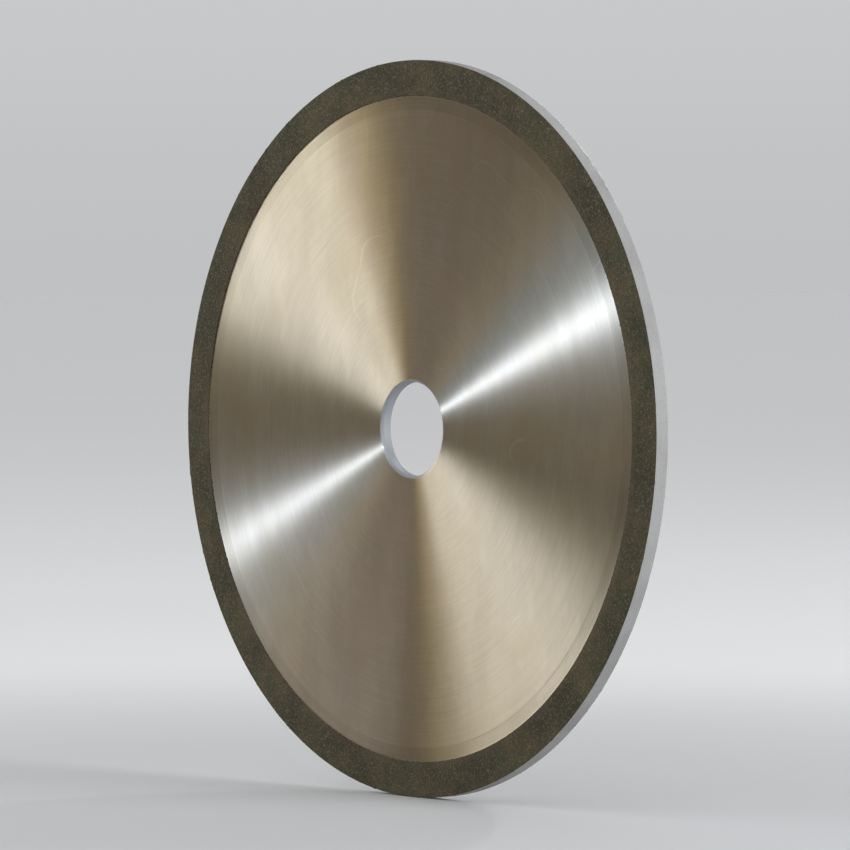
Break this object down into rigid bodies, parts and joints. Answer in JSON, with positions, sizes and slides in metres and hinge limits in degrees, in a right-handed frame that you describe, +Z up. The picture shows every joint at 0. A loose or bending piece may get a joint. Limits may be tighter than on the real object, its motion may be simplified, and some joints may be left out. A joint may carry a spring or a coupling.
{
  "type": "diamond grinding wheel",
  "caption": "Flat disc-shaped diamond grinding wheel with a turned steel core, plain central bore and continuous diamond rim.",
  "frame": {"origin": "centre of the wheel: on the bore's axis, midway through the thickness", "axes": "+Y along the spin axis towards the back face, -Y out of the front face, +Z up with the wheel standing on edge, +X to the right of a viewer who faces the front"},
  "size_m": [0.25, 0.005, 0.25],
  "materials": {
    "core_steel": "fine-turned concentric rings, satin",
    "transition_bond": "dense sintered bond, matt",
    "diamond_layer": "gritty diamond bond, matt with fine sparkle"
  },
  "bodies": {
    "root": {"core_disc": "core_steel", "transition_ring": "transition_bond", "diamond_rim": "diamond_layer"}
  },
  "joints": []
}
